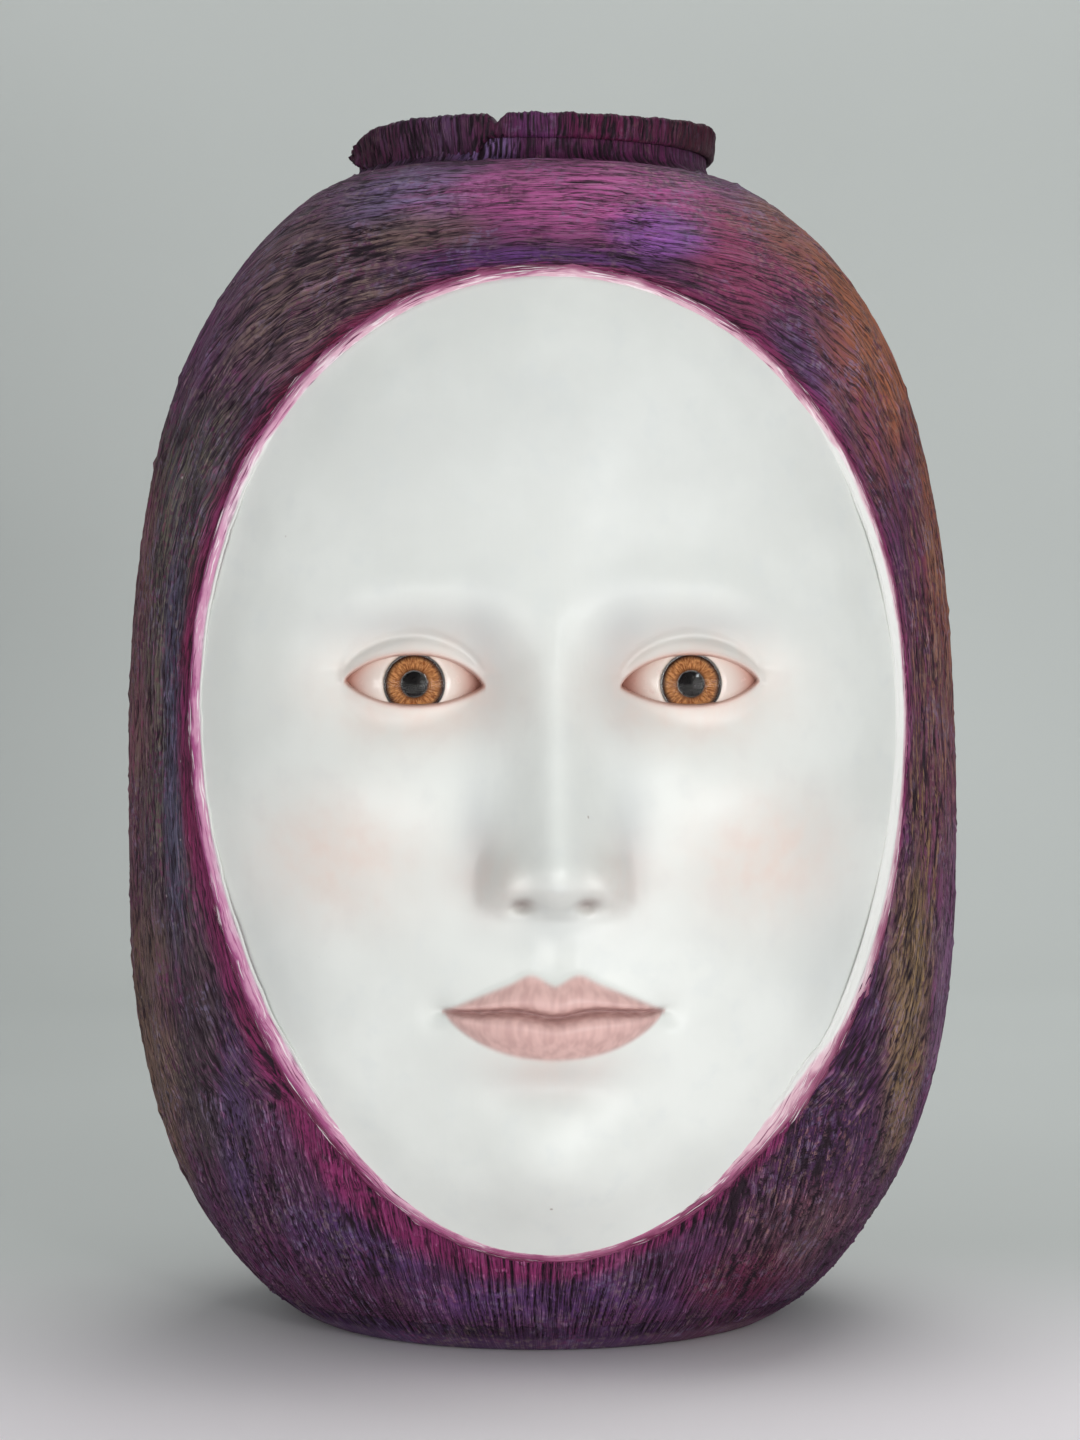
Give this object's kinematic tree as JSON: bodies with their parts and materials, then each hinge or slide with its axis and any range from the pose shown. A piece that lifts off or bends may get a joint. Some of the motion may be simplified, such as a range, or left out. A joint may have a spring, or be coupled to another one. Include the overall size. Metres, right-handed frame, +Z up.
{
  "type": "majolica face vase",
  "caption": "Hollow hand-built vase with a combed clay hood, a short collared neck, and a white glazed mask set in its egg-shaped front opening.",
  "frame": {"origin": "centre of the flat foot, on the table", "axes": "+Z up through the neck, the mask faces -Y, +X to the right when seen from the front"},
  "size_m": [0.2102, 0.2104, 0.3],
  "materials": {
    "base_clay": "unglazed, dark purple stain, smoothed by hand",
    "hood_clay": "combed, matt, brushed purple, magenta, blue, rust and olive stains",
    "neck_clay": "combed, matt, plum stain",
    "collar_clay": "combed, matt, plum and magenta stain",
    "mask_glaze": "satin white tin glaze with pale blushes",
    "rim_slip": "pink slip, dragged streaks",
    "eyeball_glaze": "glossy flesh-tinted glaze",
    "iris_glaze": "glossy amber glaze with fine rays",
    "pupil_glaze": "glossy black glaze",
    "cornea_glaze": "clear glossy glaze drop"
  },
  "bodies": {
    "root": {"base_slab": "base_clay", "body_wall": "hood_clay", "neck_ring": "neck_clay", "collar_band": "collar_clay", "face_mask": "mask_glaze", "face_rim_bead": "rim_slip", "left_eyeball": "eyeball_glaze", "right_eyeball": "eyeball_glaze", "left_iris": "iris_glaze", "right_iris": "iris_glaze", "left_pupil": "pupil_glaze", "right_pupil": "pupil_glaze", "left_cornea": "cornea_glaze", "right_cornea": "cornea_glaze"}
  },
  "joints": []
}
